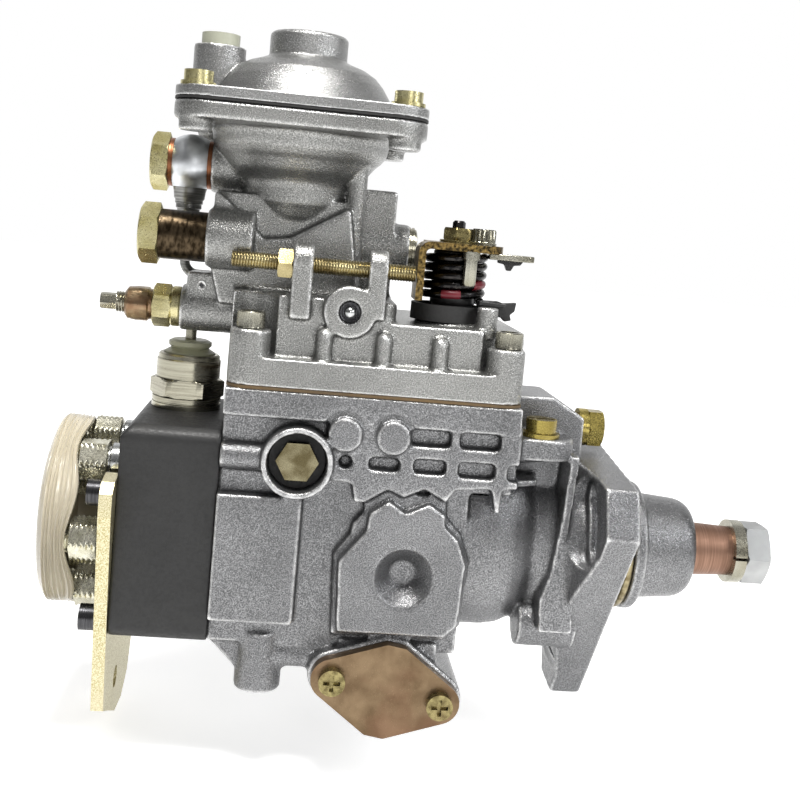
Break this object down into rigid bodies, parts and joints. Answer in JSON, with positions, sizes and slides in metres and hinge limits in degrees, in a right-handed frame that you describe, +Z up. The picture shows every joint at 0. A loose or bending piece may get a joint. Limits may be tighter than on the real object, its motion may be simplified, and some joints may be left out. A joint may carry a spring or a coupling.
{
  "type": "diesel injection pump",
  "caption": "Rotary diesel injection pump with lobed mounting flange, black distributor head, governor cover, throttle lever and boost capsule.",
  "frame": {"origin": "on the drive shaft's axis, at the front face of the mounting flange", "axes": "+X out of the drive end along the shaft, +Z up towards the boost capsule, -Y the side with the timing cover and stop screw"},
  "size_m": [0.2787, 0.114, 0.2645],
  "materials": {
    "cast_housing": "sand cast",
    "cast_cover": "sand cast",
    "black_head": "matte black",
    "zinc_yellow": "yellow passivated",
    "olive_steel": "olive passivated",
    "bright_steel": "machined",
    "dark_steel": "hardened",
    "copper": "satin",
    "brass": "satin",
    "black_rubber": "matte",
    "cream_plastic": "translucent",
    "black_plastic": "matte",
    "gasket_sheet": "pressed"
  },
  "bodies": {
    "housing": {"ball_plug": "bright_steel", "banjo_bolt": "bright_steel", "banjo_fitting": "bright_steel", "boost_spring": "dark_steel", "capsule_cover": "cast_cover", "capsule_plug": "cream_plastic", "capsule_screws": "zinc_yellow", "copper_washers": "copper", "cover_gasket": "gasket_sheet", "cover_screws": "zinc_yellow", "delivery_valve_holders": "zinc_yellow", "diaphragm": "black_rubber", "distributor_head": "black_head", "ear_screw": "zinc_yellow", "full_load_nut": "olive_steel", "full_load_screw": "olive_steel", "governor_cover": "cast_cover", "governor_shaft": "dark_steel", "head_plug": "olive_steel", "head_screws": "dark_steel", "inlet_plug": "zinc_yellow", "pilot_ring": "black_rubber", "pivot_bolts": "olive_steel", "protective_cap": "cream_plastic", "pump_housing": "cast_housing", "rear_bracket": "zinc_yellow", "return_bolt": "bright_steel", "return_sleeve": "copper", "return_spring": "dark_steel", "shaft_bush": "brass", "shaft_seal": "black_rubber", "solenoid_body": "bright_steel", "solenoid_insulator": "black_plastic", "solenoid_terminal": "brass", "spring_cup": "olive_steel", "stop_screw": "zinc_yellow", "stop_screw_nut": "zinc_yellow", "timing_cover_screws": "zinc_yellow", "timing_covers": "zinc_yellow", "vane_pump_ring": "dark_steel"},
    "drive": {"drive_shaft": "copper", "shaft_key": "dark_steel", "shaft_nut": "bright_steel", "spring_washer": "bright_steel", "vane_rotor": "dark_steel", "drive_gear": "dark_steel"},
    "cam_plunger": {"cam_disc": "dark_steel", "plunger": "dark_steel"},
    "governor": {"governor_cage": "dark_steel", "flyweights": "dark_steel"},
    "sleeve": {"sliding_sleeve": "dark_steel"},
    "governor_arm": {"governor_lever": "dark_steel"},
    "spool": {"control_spool": "dark_steel"},
    "throttle": {"throttle_shaft": "dark_steel", "throttle_lever": "zinc_yellow", "throttle_arm": "bright_steel", "lever_nut": "zinc_yellow"},
    "boost": {"boost_pin": "dark_steel"},
    "timing": {"timing_piston": "dark_steel"},
    "rollers": {"roller_ring": "dark_steel"}
  },
  "joints": [
    {"name": "drive_spin", "type": "hinge", "parent": "housing", "child": "drive", "pos_m": [0.054, 0, 0], "axis": [1, 0, 0], "continuous": true},
    {"name": "plunger_stroke", "type": "slide", "parent": "drive", "child": "cam_plunger", "axis": [-1, 0, 0], "range_m": [0, 0.0022], "stiffness_N_per_m": 400},
    {"name": "governor_spin", "type": "hinge", "parent": "housing", "child": "governor", "pos_m": [-0.0535, 0, 0.0435], "axis": [1, 0, 0], "continuous": true},
    {"name": "lever_swing", "type": "hinge", "parent": "housing", "child": "governor_arm", "pos_m": [-0.12, 0, 0.0323], "axis": [0, -1, 0], "range_deg": [0, 14.1]},
    {"name": "sleeve_slide", "type": "slide", "parent": "housing", "child": "sleeve", "axis": [-1, 0, 0], "range_m": [0, 0.00205], "stiffness_N_per_m": 300, "springref_m": -0.001},
    {"name": "spool_slide", "type": "slide", "parent": "housing", "child": "spool", "axis": [1, 0, 0], "range_m": [0, 0.0049]},
    {"name": "throttle_turn", "type": "hinge", "parent": "housing", "child": "throttle", "pos_m": [-0.068, -0.018, 0.11], "axis": [0, 0, 1], "range_deg": [0, 45], "stiffness_Nm_per_rad": 0.4, "springref_deg": -34.38},
    {"name": "boost_travel", "type": "slide", "parent": "housing", "child": "boost", "axis": [0, 0, -1], "range_m": [0, 0.005], "stiffness_N_per_m": 1500, "springref_m": -0.002, "deforming": ["boost_spring"]},
    {"name": "timing_travel", "type": "slide", "parent": "housing", "child": "timing", "axis": [0, 1, 0], "range_m": [0, 0.006], "stiffness_N_per_m": 800, "springref_m": -0.002},
    {"name": "ring_turn", "type": "hinge", "parent": "housing", "child": "rollers", "pos_m": [-0.083, 0, 0], "axis": [1, 0, 0], "range_deg": [0, 7.26]}
  ],
  "couplings": [
    {"joint": "governor_spin", "follows": "drive_spin", "ratio": -1.4167},
    {"joint": "lever_swing", "follows": "sleeve_slide", "rad_per_m": 119.05},
    {"joint": "spool_slide", "follows": "sleeve_slide", "ratio": 2.3333},
    {"joint": "ring_turn", "follows": "timing_travel", "rad_per_m": 20.964}
  ]
}
